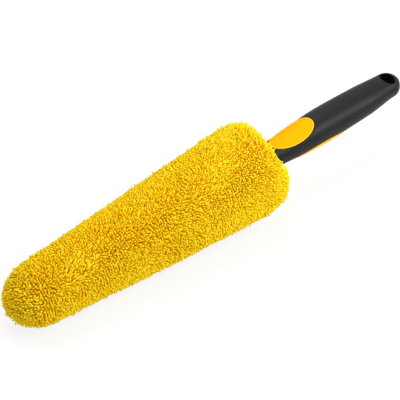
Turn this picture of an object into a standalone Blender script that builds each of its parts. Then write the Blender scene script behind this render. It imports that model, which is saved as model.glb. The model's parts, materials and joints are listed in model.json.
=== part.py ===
"""Microfibre wheel brush: a padded pile sleeve that pulls off a moulded core, on a two-tone grip.

The brush lies on the underside of its head, as it does on a bench. In its own axes X runs along the
brush, from the tip of the pile (minus) to the butt of the grip (plus), with zero at the mouth plane,
where the grip enters the pile. Z points out of the thumb pad and Y lies across the brush.
"""

import math
import random

import bmesh
import bpy
from mathutils import Matrix, Vector

MM = 0.001

# Fits
GAP = 0.3 * MM                     # between pieces that seat on each other
SLIP = 0.5 * MM                    # between the core and the foam that slides off it

# Pile sleeve, measured over the pile
HEAD_LENGTH = 276.5 * MM
HEAD_WIDTH = 87 * MM               # at the shoulder
HEAD_THICKNESS = 82.5 * MM
TIP_WIDTH = 59 * MM
TIP_THICKNESS = 55.5 * MM
TIP_ROUND = 42 * MM                # length of the rounded tip
SHOULDER_ROUND = 29 * MM           # length of the rounded shoulder
TIP_FULLNESS = 2.1                 # 2 is an ellipse, more is squarer
SHOULDER_FULLNESS = 2.25
PILE_LENGTH = 10 * MM
BACKING = 2 * MM                   # knitted cloth that carries the pile
TUFT_ROWS = 38                     # along one panel, an even number
TUFT_COLUMNS = 10                  # across one panel, an even number
TUFT_TIP_SHARE = 0.56              # width of a tuft's end over its root
TUFT_LEAN = 0.2                    # over the reach of a tuft's end
TUFT_UNEVEN = 0.7 * MM
PRESSED_FLAT = 0.5 * MM            # depth of pile pressed flat where the brush lies
LEAN_SEED = 11
OUTLINE_STEPS = 600                # points that measure the run of the cloth

# Elastic band in the sleeve's mouth
BAND_WIDTH = 7 * MM
BAND_THICKNESS = 2.5 * MM
BAND_SETBACK = 10 * MM             # from the mouth plane to the band

# Grip, measured from the mouth plane
GRIP_LENGTH = 150 * MM
COLLAR_LENGTH = 32 * MM            # the front of the grip that hides in the sleeve
COLLAR_WIDTH = 22 * MM
COLLAR_HEIGHT = 20 * MM
COLLAR_END = 10 * MM               # the collar runs straight up to here, before the mouth plane
NECK_AT = 10 * MM
NECK_WIDTH = 25.6 * MM
NECK_TOP = 11 * MM
NECK_BOTTOM = 11.2 * MM
SWELL_AT = 28 * MM
SWELL_WIDTH = 28.2 * MM
SWELL_TOP = 12.2 * MM
SWELL_BOTTOM = 12.6 * MM
BELLY_AT = 62 * MM
BELLY_WIDTH = 31.6 * MM
BELLY_TOP = 14.4 * MM
BELLY_BOTTOM = 13.4 * MM
WAIST_AT = 106 * MM
WAIST_WIDTH = 30.6 * MM
WAIST_TOP = 12.6 * MM
WAIST_BOTTOM = 11.8 * MM
BUTT_WIDTH = 25.4 * MM             # its end is a half round of this width
BUTT_TOP = 10.4 * MM
BUTT_BOTTOM = 8.4 * MM
BUTT_TAPER = 0.7                   # power of the butt's fall in height, under 1 keeps it thick
COLLAR_SQUARENESS = 2.0
GRIP_SQUARENESS = 2.2
BUTT_SQUARENESS = 2.4
GRIP_SIDES = 40
GRIP_STEP = 6.5 * MM
NORMAL_STEP = 0.2 * MM             # span over which the slope of the surface is taken
BUTT_RINGS = 6

# Hang hole and the flat beside it that lies on a wall
HOLE_LENGTH = 11.5 * MM
HOLE_WIDTH = 16.5 * MM
HOLE_EDGE = 5.5 * MM               # wall between the hole and the end of the butt
WALL_FLAT_DEPTH = 1.2 * MM         # at the butt, running out to nothing at the waist

# Soft pads let into the grip
PAD_DEPTH = 2 * MM
PAD_EDGE_DROP = 0.4 * MM           # how far a pad's surface falls at its rim
PAD_EDGE_POWER = 8                 # higher keeps the fall closer to the rim
PAD_RINGS = 5
PAD_SIDES = 44
THUMB_PAD_AT = 25.5 * MM
THUMB_PAD_LENGTH = 47 * MM
THUMB_PAD_WRAP = math.radians(106)
THUMB_PAD_PROUD = 1 * MM
FINGER_PAD_AT = 53 * MM
FINGER_PAD_LENGTH = 73 * MM
FINGER_PAD_WRAP = math.radians(138)
FINGER_PAD_PROUD = 1 * MM

# Moulded core: a ladder blade in the foam, a flange and a tang in the grip
FLANGE_THICKNESS = 3 * MM
BLADE_WIDTH = 20 * MM              # at the flange
BLADE_TIP_WIDTH = 13 * MM
BLADE_THICKNESS = 7 * MM
BLADE_EDGE = 4 * MM                # rail left beside each window
BLADE_RUNG = 9 * MM                # bar left between two windows
WINDOW_COUNT = 5
ROUND_STEPS = 12                   # facets of a half round on the blade
TANG_LENGTH = 58 * MM
TANG_WIDTH = 14 * MM
TANG_THICKNESS = 6 * MM
FOAM_TIP = 8 * MM                  # foam beyond the end of the blade

# Self-tapping screws that hold the tang
SCREW_SETBACK = 8 * MM             # from the collar's front face
SCREW_SPACING = 8 * MM
SCREW_HEAD = 5.4 * MM
SCREW_HEAD_HEIGHT = 1.8 * MM
SCREW_SHANK = 2.6 * MM
SCREW_SINK = 0.6 * MM              # head below the collar's surface
SCREW_TIP_RISE = 2 * MM            # point of the screw past the middle of the tang
SCREW_SIDES = 20


def clear_scene():
    for old in list(bpy.data.objects):
        bpy.data.objects.remove(old)


def make_material(name, colour, roughness, metallic=0.0):
    material = bpy.data.materials.new(name)
    material.use_nodes = True
    shader = material.node_tree.nodes["Principled BSDF"]
    shader.inputs["Base Color"].default_value = (*colour, 1.0)
    shader.inputs["Roughness"].default_value = roughness
    shader.inputs["Metallic"].default_value = metallic
    material.diffuse_color = (*colour, 1.0)
    return material


def make_empty(name, parent=None):
    empty = bpy.data.objects.new(name, None)
    bpy.context.scene.collection.objects.link(empty)
    empty.parent = parent
    return empty


def make_object(name, bm, parent, material=None, smooth_angle=40):
    """Turns a bmesh into a named object with outward faces. With no material it is a cutter."""
    bmesh.ops.recalc_face_normals(bm, faces=bm.faces)
    mesh = bpy.data.meshes.new(name)
    bm.to_mesh(mesh)
    bm.free()
    obj = bpy.data.objects.new(name, mesh)
    bpy.context.scene.collection.objects.link(obj)
    obj.parent = parent
    if material is None:
        obj.hide_render = True
        obj.display_type = "WIRE"
    else:
        mesh.materials.append(material)
        mesh.shade_smooth()
        mesh.set_sharp_from_angle(angle=math.radians(smooth_angle))
    return obj


def combine(obj, other, operation):
    boolean = obj.modifiers.new(f"{operation.lower()}_{other.name}", "BOOLEAN")
    boolean.operation = operation
    boolean.object = other


def loft(bm, rings, endless=False):
    """Skins a row of closed rings with equal point counts. A ring of one point is a pole.

    The ends are capped, or joined to each other if the row is endless.
    """
    loops = [[bm.verts.new(point) for point in ring] for ring in rings]
    for near, far in zip(loops, loops[1:] + loops[:1] if endless else loops[1:]):
        count = max(len(near), len(far))
        for k in range(count):
            corners = [near[k % len(near)], near[(k + 1) % len(near)]]
            corners += [far[(k + 1) % len(far)], far[k % len(far)]]
            bm.faces.new(list(dict.fromkeys(corners)))
    for end in (loops[0], loops[-1]):
        if len(end) > 2 and not endless:
            bm.faces.new(end)


def signed_power(value, power):
    return math.copysign(abs(value) ** power, value)


def oval(x, half_width, half_height, sides, lift=0.0, squareness=2.0):
    """A ring round the X axis: a superellipse, which is a plain ellipse at squareness 2."""
    ring = []
    for k in range(sides):
        angle = 2 * math.pi * k / sides
        y = half_width * signed_power(math.cos(angle), 2 / squareness)
        z = half_height * signed_power(math.sin(angle), 2 / squareness)
        ring.append(Vector((x, y, z + lift)))
    return ring


# The sleeve's outline

BAND_OUTER = (COLLAR_WIDTH / 2 + GAP + BAND_THICKNESS, COLLAR_HEIGHT / 2 + GAP + BAND_THICKNESS)


def head_outline(stage, depth):
    """(x, half width, half thickness) of the head at a depth under the pile's surface.

    stage runs 0 to 1 round the tip, 1 to 2 up the straight taper and 2 to 3 over the shoulder.
    """
    tip_end = -HEAD_LENGTH + TIP_ROUND
    shoulder_start = -SHOULDER_ROUND
    tip = (TIP_WIDTH / 2 - depth, TIP_THICKNESS / 2 - depth)
    full = (HEAD_WIDTH / 2 - depth, HEAD_THICKNESS / 2 - depth)
    if stage <= 1:
        power = 2 / TIP_FULLNESS
        turn = stage * math.pi / 2
        x = tip_end - (TIP_ROUND - depth) * math.cos(turn) ** power
        share = math.sin(turn) ** power
        return x, tip[0] * share, tip[1] * share
    if stage <= 2:
        share = stage - 1
        x = tip_end + (shoulder_start - tip_end) * share
        return x, *(a + (b - a) * share for a, b in zip(tip, full))
    power = 2 / SHOULDER_FULLNESS
    turn = (stage - 2) * math.pi / 2
    x = shoulder_start + (SHOULDER_ROUND - depth) * math.sin(turn) ** power
    share = max(math.cos(turn), 0.0) ** power
    facet = math.cos(math.pi / TUFT_COLUMNS)
    mouth = [(size + GAP) / facet for size in BAND_OUTER]
    return x, *(m + (f - m) * share for m, f in zip(mouth, full))


def even_stages(count):
    """count + 1 stages from tip to mouth, evenly spaced along the cloth."""
    fine = [3 * k / OUTLINE_STEPS for k in range(OUTLINE_STEPS + 1)]
    points = [Vector(head_outline(stage, PILE_LENGTH)) for stage in fine]
    run = [0.0]
    for before, after in zip(points, points[1:]):
        run.append(run[-1] + (after.xy - before.xy).length)
    stages = []
    index = 0
    for k in range(count + 1):
        target = run[-1] * k / count
        while index < len(run) - 2 and run[index + 1] < target:
            index += 1
        step = run[index + 1] - run[index]
        share = (target - run[index]) / step if step else 0.0
        stages.append(fine[index] + (fine[index + 1] - fine[index]) * min(share, 1.0))
    return stages


def head_point(stage, turn, depth, side):
    """A point of one panel's half shell. side is 1 over the seam and -1 under it."""
    x, half_width, half_thickness = head_outline(stage, depth)
    z = half_thickness * math.sin(turn) + GAP / 2
    return Vector((x, half_width * math.cos(turn), side * z))


# Pile panels

def grow_tuft(bm, roots, ends, side, chance):
    """Draws one diamond of the cloth out into a tuft that narrows and leans a little, from the seam."""
    middle = sum(ends, Vector()) / len(ends)
    out = (middle - sum((root.co for root in roots), Vector()) / len(roots)).normalized()
    reach = min((end - middle).length for end in ends)
    lean = Vector((chance.uniform(-1, 1), chance.uniform(-1, 1), side * chance.uniform(0, 1)))
    centre = middle + (lean - out * lean.dot(out)) * TUFT_LEAN * reach
    corners = [bm.verts.new(centre + (end - middle) * TUFT_TIP_SHARE) for end in ends]
    bm.faces.new(corners)
    for k, corner in enumerate(corners):
        bm.faces.new([roots[k - 1], roots[k], corner, corners[k - 1]])


def make_panel_mesh(bm, side):
    """The cloth of one panel, with a tuft on each diamond of a net over its outer face."""
    stages = even_stages(TUFT_ROWS)
    turns = [math.pi * k / TUFT_COLUMNS for k in range(TUFT_COLUMNS + 1)]
    chance = random.Random(LEAN_SEED + side)

    def cloth_points(depth, wanted):
        pole = bm.verts.new(head_point(stages[0], 0.0, depth, side))
        points = {(0, j): pole for j in range(TUFT_COLUMNS + 1)}
        for i in range(1, TUFT_ROWS + 1):
            for j in range(TUFT_COLUMNS + 1):
                if wanted(i, j):
                    points[i, j] = bm.verts.new(head_point(stages[i], turns[j], depth, side))
        return points

    def on_net(i, j):
        return (i + j) % 2 == 0 or i == TUFT_ROWS or j in (0, TUFT_COLUMNS)

    outer = cloth_points(PILE_LENGTH, on_net)
    inner = cloth_points(PILE_LENGTH + BACKING, lambda i, j: True)

    for i in range(1, TUFT_ROWS + 1):
        for j in range(TUFT_COLUMNS + 1):
            if (i + j) % 2 == 0:
                continue
            around = [(i - 1, j), (i, min(j + 1, TUFT_COLUMNS))]
            around += [(min(i + 1, TUFT_ROWS), j), (i, max(j - 1, 0))]
            roots = {outer[key]: key for key in around}
            depth = chance.uniform(0, TUFT_UNEVEN)
            ends = [head_point(stages[row], turns[column], depth, side) for row, column in roots.values()]
            grow_tuft(bm, list(roots), ends, side, chance)

    for i in range(TUFT_ROWS):
        for j in range(TUFT_COLUMNS):
            keys = [(i, j), (i, j + 1), (i + 1, j + 1), (i + 1, j)]
            bm.faces.new(list(dict.fromkeys(inner[key] for key in keys)))

    edges = [((i, j), (i + 1, j)) for j in (0, TUFT_COLUMNS) for i in range(TUFT_ROWS)]
    edges += [((TUFT_ROWS, j), (TUFT_ROWS, j + 1)) for j in range(TUFT_COLUMNS)]
    for near, far in edges:
        bm.faces.new([outer[near], outer[far], inner[far], inner[near]])


def press_flat(bm, floor_normal):
    """Presses the lowest tufts flat along the plane that the brush lies on."""
    floor = min(vert.co.dot(floor_normal) for vert in bm.verts) + PRESSED_FLAT
    for vert in bm.verts:
        vert.co += floor_normal * max(floor - vert.co.dot(floor_normal), 0.0)


def make_panel(name, side, parent, material, floor_normal=None):
    """One pile panel. The lower one is given the direction that points up from the bench."""
    bm = bmesh.new()
    make_panel_mesh(bm, side)
    if floor_normal:
        press_flat(bm, floor_normal)
    return make_object(name, bm, parent, material, smooth_angle=20)


# Foam lining

def blade_rear():
    return -COLLAR_LENGTH - GAP - FLANGE_THICKNESS


def blade_tip():
    return -HEAD_LENGTH + PILE_LENGTH + BACKING + GAP + FOAM_TIP


def blade_outline(grow):
    """Corners of the blade seen from above, tip first, with a round end. grow widens it."""
    rear, tip = BLADE_WIDTH / 2 + grow, BLADE_TIP_WIDTH / 2 + grow
    centre_x = blade_tip() + BLADE_TIP_WIDTH / 2
    outline = []
    for k in range(ROUND_STEPS + 1):
        turn = math.pi * (k / ROUND_STEPS - 0.5)
        outline.append(Vector((centre_x - tip * math.cos(turn), tip * math.sin(turn), 0)))
    return outline + [Vector((blade_rear(), rear, 0)), Vector((blade_rear(), -rear, 0))]


def extrude_outline(bm, outline, low, high):
    rings = [[Vector((point.x, point.y, z)) for point in outline] for z in (low, high)]
    loft(bm, rings)


def make_cavity(parent):
    """The room that the core takes up inside the foam: a slot for the blade and a bore for the collar."""
    bm = bmesh.new()
    half = BLADE_THICKNESS / 2 + SLIP
    extrude_outline(bm, blade_outline(SLIP), -half, half)
    slot = make_object("cavity_slot", bm, parent)
    bm = bmesh.new()
    bore = (COLLAR_WIDTH / 2 + SLIP, COLLAR_HEIGHT / 2 + SLIP)
    ends = (blade_rear() - SLIP, -BAND_SETBACK)
    loft(bm, [oval(x, *bore, GRIP_SIDES) for x in ends])
    return slot, make_object("cavity_bore", bm, parent)


def make_foam(name, side, parent, material, cutters):
    """Half of the foam lining: the inside of the sleeve, cut off in front of the elastic band."""
    bm = bmesh.new()
    depth = PILE_LENGTH + BACKING + GAP
    turns = [2 * math.pi * k / (2 * TUFT_COLUMNS) for k in range(2 * TUFT_COLUMNS)]
    rings = []
    for stage in even_stages(TUFT_ROWS):
        x, half_width, half_thickness = head_outline(stage, depth)
        ring = [Vector((x, half_width * math.cos(t), half_thickness * math.sin(t))) for t in turns]
        rings.append(ring if stage > 0 else [Vector((x, 0, 0))])
    loft(bm, rings)
    rear = -BAND_SETBACK - BAND_WIDTH - GAP
    rear_plane = (Vector((rear, 0, 0)), Vector((-1, 0, 0)))
    seam_plane = (Vector((0, 0, side * GAP / 2)), Vector((0, 0, side)))
    for point, normal in (rear_plane, seam_plane):
        everything = bm.verts[:] + bm.edges[:] + bm.faces[:]
        cut = bmesh.ops.bisect_plane(bm, geom=everything, plane_co=point, plane_no=normal, clear_inner=True)
        rims = [item for item in cut["geom_cut"] if isinstance(item, bmesh.types.BMEdge)]
        bmesh.ops.edgeloop_fill(bm, edges=rims)
    foam = make_object(name, bm, parent, material)
    for cutter in cutters:
        combine(foam, cutter, "DIFFERENCE")
    return foam


def make_band(parent, material):
    """Elastic band in the mouth of the sleeve, round the collar."""
    bm = bmesh.new()
    inner = (COLLAR_WIDTH / 2 + GAP, COLLAR_HEIGHT / 2 + GAP)
    front, rear = -BAND_SETBACK - BAND_WIDTH, -BAND_SETBACK
    corners = ((front, inner), (front, BAND_OUTER), (rear, BAND_OUTER), (rear, inner))
    loft(bm, [oval(x, *size, GRIP_SIDES) for x, size in corners], endless=True)
    return make_object("mouth_band", bm, parent, material)


# Grip

BUTT_AT = GRIP_LENGTH - BUTT_WIDTH / 2
GRIP_STATIONS = (
    (-COLLAR_LENGTH, COLLAR_WIDTH / 2, COLLAR_HEIGHT / 2, COLLAR_HEIGHT / 2, COLLAR_SQUARENESS),
    (-COLLAR_END, COLLAR_WIDTH / 2, COLLAR_HEIGHT / 2, COLLAR_HEIGHT / 2, COLLAR_SQUARENESS),
    (NECK_AT, NECK_WIDTH / 2, NECK_TOP, NECK_BOTTOM, GRIP_SQUARENESS),
    (SWELL_AT, SWELL_WIDTH / 2, SWELL_TOP, SWELL_BOTTOM, GRIP_SQUARENESS),
    (BELLY_AT, BELLY_WIDTH / 2, BELLY_TOP, BELLY_BOTTOM, GRIP_SQUARENESS),
    (WAIST_AT, WAIST_WIDTH / 2, WAIST_TOP, WAIST_BOTTOM, GRIP_SQUARENESS),
    (BUTT_AT, BUTT_WIDTH / 2, BUTT_TOP, BUTT_BOTTOM, BUTT_SQUARENESS),
)


def station_slope(index, column):
    """Slope of a grip size at a station, kept flat where the size peaks so that it never overshoots."""
    if index in (0, len(GRIP_STATIONS) - 1):
        index = min(max(index, 1), len(GRIP_STATIONS) - 2)
    before, here, after = GRIP_STATIONS[index - 1:index + 2]
    rise_in = (here[column] - before[column]) / (here[0] - before[0])
    rise_out = (after[column] - here[column]) / (after[0] - here[0])
    if rise_in * rise_out <= 0:
        return 0.0
    return 2 * rise_in * rise_out / (rise_in + rise_out)


def grip_sizes(x):
    """(half width, top, bottom, squareness) of the grip at x, on smooth curves through the stations."""
    x = min(max(x, GRIP_STATIONS[0][0]), GRIP_STATIONS[-1][0])
    index = max(k for k, station in enumerate(GRIP_STATIONS[:-1]) if station[0] <= x)
    near, far = GRIP_STATIONS[index], GRIP_STATIONS[index + 1]
    span = far[0] - near[0]
    t = (x - near[0]) / span
    sizes = []
    for column in range(1, 5):
        ends = (2 * t ** 3 - 3 * t ** 2 + 1) * near[column] + (3 * t ** 2 - 2 * t ** 3) * far[column]
        bend = (t ** 3 - 2 * t ** 2 + t) * station_slope(index, column) if index else 0.0
        bend += (t ** 3 - t ** 2) * station_slope(index + 1, column)
        sizes.append(ends + bend * span)
    return sizes


def grip_point(x, angle):
    """The grip's surface at x, at an angle round the axis with 90 degrees on top."""
    half_width, top, bottom, squareness = grip_sizes(x)
    height, lift = (top + bottom) / 2, (top - bottom) / 2
    y = half_width * signed_power(math.cos(angle), 2 / squareness)
    return Vector((x, y, lift + height * signed_power(math.sin(angle), 2 / squareness)))


def grip_normal(x, angle):
    along = grip_point(x + NORMAL_STEP, angle) - grip_point(x - NORMAL_STEP, angle)
    turn = NORMAL_STEP / grip_sizes(x)[0]
    across = grip_point(x, angle + turn) - grip_point(x, angle - turn)
    return across.cross(along).normalized()


def grip_ring(x):
    half_width, top, bottom, squareness = grip_sizes(x)
    return oval(x, half_width, (top + bottom) / 2, GRIP_SIDES, (top - bottom) / 2, squareness)


def butt_ring(share):
    """A ring of the rounded end. share runs from 0 at its start to 1 at the pole."""
    half_width, top, bottom, squareness = grip_sizes(BUTT_AT)
    turn = share * math.pi / 2
    x = BUTT_AT + BUTT_WIDTH / 2 * math.sin(turn)
    lift = (top - bottom) / 2
    if share == 1:
        return [Vector((x, 0, lift))]
    height = (top + bottom) / 2 * math.cos(turn) ** BUTT_TAPER
    return oval(x, half_width * math.cos(turn), height, GRIP_SIDES, lift, squareness)


def pad_skin(at, length, wrap, middle, offset):
    """Rings of a pad's surface from its centre out. offset gives the height over the grip by ring share."""
    rings = []
    for k in range(PAD_RINGS + 1):
        share = math.sin(k / PAD_RINGS * math.pi / 2)
        ring = []
        for s in range(PAD_SIDES if k else 1):
            turn = 2 * math.pi * s / PAD_SIDES
            x = at + length / 2 * share * math.cos(turn)
            angle = middle + wrap / 2 * share * math.sin(turn)
            ring.append(grip_point(x, angle) + grip_normal(x, angle) * offset(share))
        rings.append(ring)
    return rings


def pad_solid(at, length, wrap, middle, top_offset, floor_offset):
    bm = bmesh.new()
    top = pad_skin(at, length, wrap, middle, top_offset)
    floor = pad_skin(at, length, wrap, middle, lambda share: floor_offset)
    loft(bm, top + floor[::-1])
    return bm


def make_pad(name, at, length, wrap, middle, proud, parent, material):
    """A soft pad and the cutter for its pocket, one clearance larger all round."""

    def crown(share):
        return proud - PAD_EDGE_DROP * share ** PAD_EDGE_POWER

    pad = make_object(name, pad_solid(at, length, wrap, middle, crown, -PAD_DEPTH), parent, material)
    over = proud + PAD_DEPTH
    roomier = wrap + 2 * GAP / (BELLY_WIDTH / 2)
    pocket = pad_solid(at, length + 2 * GAP, roomier, middle, lambda share: over, -PAD_DEPTH - GAP)
    return pad, make_object(f"{name}_pocket", pocket, parent)


def make_hang_hole(parent):
    """Cutter for the oval hole through the butt."""
    bm = bmesh.new()
    outline = []
    for k in range(GRIP_SIDES):
        turn = 2 * math.pi * k / GRIP_SIDES
        x = hole_centre() + HOLE_LENGTH / 2 * math.cos(turn)
        outline.append(Vector((x, HOLE_WIDTH / 2 * math.sin(turn), 0)))
    extrude_outline(bm, outline, -WAIST_BOTTOM - BUTT_BOTTOM, WAIST_TOP + BUTT_TOP)
    return make_object("hang_hole", bm, parent)


def hole_centre():
    return GRIP_LENGTH - HOLE_EDGE - HOLE_LENGTH / 2


def wall_flat_plane():
    """(point, outward direction) of the flat under the butt, which starts at the waist."""
    waist = grip_point(WAIST_AT, -math.pi / 2)
    butt = grip_point(BUTT_AT, -math.pi / 2) + Vector((0, 0, WALL_FLAT_DEPTH))
    out = Vector((0, 1, 0)).cross(butt - waist).normalized()
    return waist, out


def make_wall_flat(parent):
    """Cutter that slices the underside of the butt flat."""
    point, out = wall_flat_plane()
    along = out.cross(Vector((0, 1, 0)))
    size = 2 * BUTT_WIDTH
    bm = bmesh.new()
    bmesh.ops.create_cube(bm, size=2 * size)
    frame = Matrix((along, Vector((0, 1, 0)), out)).transposed().to_4x4()
    frame.translation = point + out * size
    bmesh.ops.transform(bm, matrix=frame, verts=bm.verts)
    return make_object("wall_flat", bm, parent)


def make_socket(parent):
    """Cutter for the tang's socket in the collar."""
    bm = bmesh.new()
    half = (TANG_WIDTH / 2 + GAP, TANG_THICKNESS / 2 + GAP)
    front, rear = -COLLAR_LENGTH - COLLAR_WIDTH, -COLLAR_LENGTH + TANG_LENGTH + GAP
    corners = ((-1, -1), (1, -1), (1, 1), (-1, 1))
    loft(bm, [[Vector((x, sy * half[0], sz * half[1])) for sy, sz in corners] for x in (front, rear)])
    return make_object("tang_socket", bm, parent)


def make_grip(parent, material, cutters):
    bm = bmesh.new()
    rings = []
    count = math.ceil((BUTT_AT + COLLAR_LENGTH) / GRIP_STEP)
    for k in range(count + 1):
        rings.append(grip_ring(-COLLAR_LENGTH + (BUTT_AT + COLLAR_LENGTH) * k / count))
    rings += [butt_ring(k / BUTT_RINGS) for k in range(1, BUTT_RINGS + 1)]
    loft(bm, rings)
    grip = make_object("grip_body", bm, parent, material)
    for cutter in cutters:
        combine(grip, cutter, "DIFFERENCE")
    return grip


# Core and its screws

def screw_spots():
    x = -COLLAR_LENGTH + SCREW_SETBACK
    return [("left", x, SCREW_SPACING / 2), ("right", x, -SCREW_SPACING / 2)]


def screw_profile(y, grow):
    """(radius, z) down the outside of a screw from its point. grow is the clearance of its hole."""
    drop = math.sqrt(1 - ((abs(y) + SCREW_HEAD / 2) / (COLLAR_WIDTH / 2)) ** 2)
    face = -COLLAR_HEIGHT / 2 * drop + SCREW_SINK
    seat = face + SCREW_HEAD_HEIGHT
    shank, head = SCREW_SHANK / 2 + grow, SCREW_HEAD / 2 + grow
    low = face if not grow else face - COLLAR_HEIGHT
    return [(shank, SCREW_TIP_RISE + grow), (shank, seat + grow), (head, seat + grow), (head, low)]


def screw_solid(x, y, grow):
    bm = bmesh.new()
    rings = []
    for radius, z in screw_profile(y, grow):
        ring = []
        for k in range(SCREW_SIDES):
            turn = 2 * math.pi * k / SCREW_SIDES
            ring.append(Vector((x + radius * math.cos(turn), y + radius * math.sin(turn), z)))
        rings.append(ring)
    loft(bm, rings)
    return bm


def make_windows(parent):
    """Cutter for the openings that leave the blade as a ladder. Each window has round ends."""
    bm = bmesh.new()
    front, rear = blade_tip() + BLADE_TIP_WIDTH, blade_rear() - BLADE_RUNG
    pitch = (rear - front) / WINDOW_COUNT
    for k in range(WINDOW_COUNT):
        low, high = front + pitch * k, front + pitch * (k + 1) - BLADE_RUNG
        share = (low - blade_tip()) / (blade_rear() - blade_tip())
        radius = (BLADE_TIP_WIDTH + (BLADE_WIDTH - BLADE_TIP_WIDTH) * share) / 2 - BLADE_EDGE
        outline = []
        for centre, start in ((high - radius, -0.5), (low + radius, 0.5)):
            for s in range(ROUND_STEPS + 1):
                turn = math.pi * (start + s / ROUND_STEPS)
                outline.append(Vector((centre + radius * math.cos(turn), radius * math.sin(turn), 0)))
        extrude_outline(bm, outline, -BLADE_THICKNESS, BLADE_THICKNESS)
    return make_object("blade_windows", bm, parent)


def make_core(parent, material, screw_holes):
    bm = bmesh.new()
    half = BLADE_THICKNESS / 2
    extrude_outline(bm, blade_outline(0.0), -half, half)
    core = make_object("core", bm, parent, material)
    combine(core, make_windows(parent), "DIFFERENCE")

    bm = bmesh.new()
    flange = (COLLAR_WIDTH / 2 - GAP, COLLAR_HEIGHT / 2 - GAP)
    ends = (blade_rear() - GAP, blade_rear() + FLANGE_THICKNESS)
    loft(bm, [oval(x, *flange, GRIP_SIDES) for x in ends])
    combine(core, make_object("core_flange", bm, parent), "UNION")

    bm = bmesh.new()
    half = (TANG_WIDTH / 2, TANG_THICKNESS / 2)
    ends = (blade_rear() + FLANGE_THICKNESS / 2, -COLLAR_LENGTH + TANG_LENGTH)
    corners = ((-1, -1), (1, -1), (1, 1), (-1, 1))
    loft(bm, [[Vector((x, sy * half[0], sz * half[1])) for sy, sz in corners] for x in ends])
    combine(core, make_object("core_tang", bm, parent), "UNION")
    for hole in screw_holes:
        combine(core, hole, "DIFFERENCE")
    return core


# Assembly

def rest_tilt():
    """Angle that lays the straight underside of the head on the bench."""
    rise = (HEAD_THICKNESS - TIP_THICKNESS) / 2
    return math.atan2(rise, HEAD_LENGTH - TIP_ROUND - SHOULDER_ROUND)


def stand_on_bench(brush, pieces):
    """Moves the brush so that its box stands on the origin, centred."""
    bpy.context.view_layer.update()
    corners = [piece.matrix_world @ vert.co for piece in pieces for vert in piece.data.vertices]
    low = Vector([min(corner[k] for corner in corners) for k in range(3)])
    high = Vector([max(corner[k] for corner in corners) for k in range(3)])
    brush.location = Vector((-(low.x + high.x) / 2, -(low.y + high.y) / 2, -low.z))
    bpy.context.view_layer.update()


def main():
    clear_scene()
    black = make_material("black_polypropylene", (0.035, 0.035, 0.037), 0.45)
    core_black = make_material("core_polypropylene", (0.05, 0.05, 0.052), 0.55)
    soft_yellow = make_material("yellow_soft_grip", (0.95, 0.52, 0.01), 0.5)
    pile_yellow = make_material("yellow_pile", (0.82, 0.48, 0.02), 0.9)
    foam_grey = make_material("grey_foam", (0.35, 0.35, 0.36), 0.95)
    elastic = make_material("black_elastic", (0.04, 0.04, 0.04), 0.9)
    steel = make_material("zinc_steel", (0.62, 0.62, 0.6), 0.35, 1.0)

    brush = make_empty("brush")
    brush.rotation_euler = (0, -rest_tilt(), 0)
    sleeve = make_empty("sleeve_slide", brush)
    floor_normal = Vector((math.sin(rest_tilt()), 0, math.cos(rest_tilt())))

    pieces = [make_panel("pile_panel_top", 1, sleeve, pile_yellow)]
    pieces.append(make_panel("pile_panel_bottom", -1, sleeve, pile_yellow, floor_normal))
    cavity = make_cavity(sleeve)
    pieces.append(make_foam("foam_top", 1, sleeve, foam_grey, cavity))
    pieces.append(make_foam("foam_bottom", -1, sleeve, foam_grey, cavity))
    pieces.append(make_band(sleeve, elastic))

    thumb = (THUMB_PAD_AT, THUMB_PAD_LENGTH, THUMB_PAD_WRAP, math.pi / 2, THUMB_PAD_PROUD)
    finger = (FINGER_PAD_AT, FINGER_PAD_LENGTH, FINGER_PAD_WRAP, -math.pi / 2, FINGER_PAD_PROUD)
    thumb_pad, thumb_pocket = make_pad("thumb_pad", *thumb, brush, soft_yellow)
    finger_pad, finger_pocket = make_pad("finger_pad", *finger, brush, soft_yellow)
    screw_holes = []
    for name, x, y in screw_spots():
        pieces.append(make_object(f"core_screw_{name}", screw_solid(x, y, 0.0), brush, steel))
        screw_holes.append(make_object(f"screw_hole_{name}", screw_solid(x, y, GAP), brush))
    pieces.append(make_core(brush, core_black, screw_holes))
    cutters = [thumb_pocket, finger_pocket, make_hang_hole(brush), make_wall_flat(brush)]
    cutters += [make_socket(brush), *screw_holes]
    pieces.append(make_grip(brush, black, cutters))
    pieces += [thumb_pad, finger_pad]
    stand_on_bench(brush, pieces)


main()
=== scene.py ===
import json
import math

import bmesh
import bpy
import numpy as np
from mathutils import Matrix


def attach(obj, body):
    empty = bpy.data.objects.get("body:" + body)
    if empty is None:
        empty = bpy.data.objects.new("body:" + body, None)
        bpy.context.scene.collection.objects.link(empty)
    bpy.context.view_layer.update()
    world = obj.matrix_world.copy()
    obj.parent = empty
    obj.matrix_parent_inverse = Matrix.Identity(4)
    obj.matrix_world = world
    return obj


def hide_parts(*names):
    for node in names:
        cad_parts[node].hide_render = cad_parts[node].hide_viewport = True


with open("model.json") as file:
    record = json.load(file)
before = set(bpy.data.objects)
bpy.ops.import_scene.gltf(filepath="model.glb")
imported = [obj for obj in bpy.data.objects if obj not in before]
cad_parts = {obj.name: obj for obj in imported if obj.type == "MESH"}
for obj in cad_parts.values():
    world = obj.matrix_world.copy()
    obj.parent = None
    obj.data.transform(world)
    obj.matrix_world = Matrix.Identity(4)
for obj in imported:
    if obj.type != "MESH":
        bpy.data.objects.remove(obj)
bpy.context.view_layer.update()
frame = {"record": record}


# Core: the ladder-shaped blade that stiffens the head, with a flange and a tang that goes into
# the grip. Injection moulded in black polypropylene; its CAD shape is right and stays.

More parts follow.
